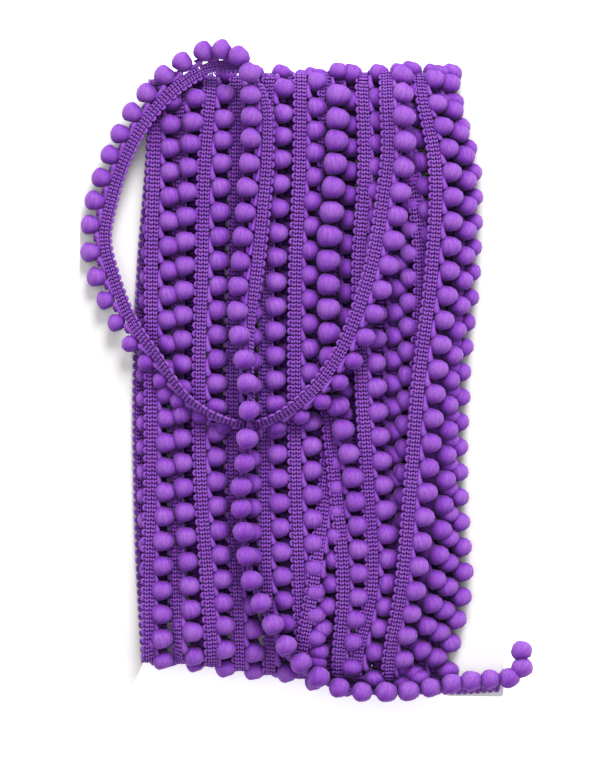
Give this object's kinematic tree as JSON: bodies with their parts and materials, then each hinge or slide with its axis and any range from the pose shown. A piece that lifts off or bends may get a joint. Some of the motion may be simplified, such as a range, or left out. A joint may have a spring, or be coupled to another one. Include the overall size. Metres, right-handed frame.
{
  "type": "pompom fringe trim wound on a notched card",
  "caption": "Knitted violet band with a row of round pompoms along one edge, wound lengthwise on a flat notched card, its loose end looped over the front.",
  "frame": {"origin": "centre of the card's outline, at the flat underside of the winding", "axes": "+Y along the card's long side towards the notch where the loose end leaves the winding, +Z out of the front of the winding, +X to the right seen from the front"},
  "size_m": [0.1696, 0.245, 0.0381],
  "materials": {
    "trim": "matt yarn",
    "card": "matt, uncoated"
  },
  "bodies": {
    "root": {"card": "card", "winding": "trim", "loose_band": "trim", "loose_pompoms": "trim"}
  },
  "joints": []
}
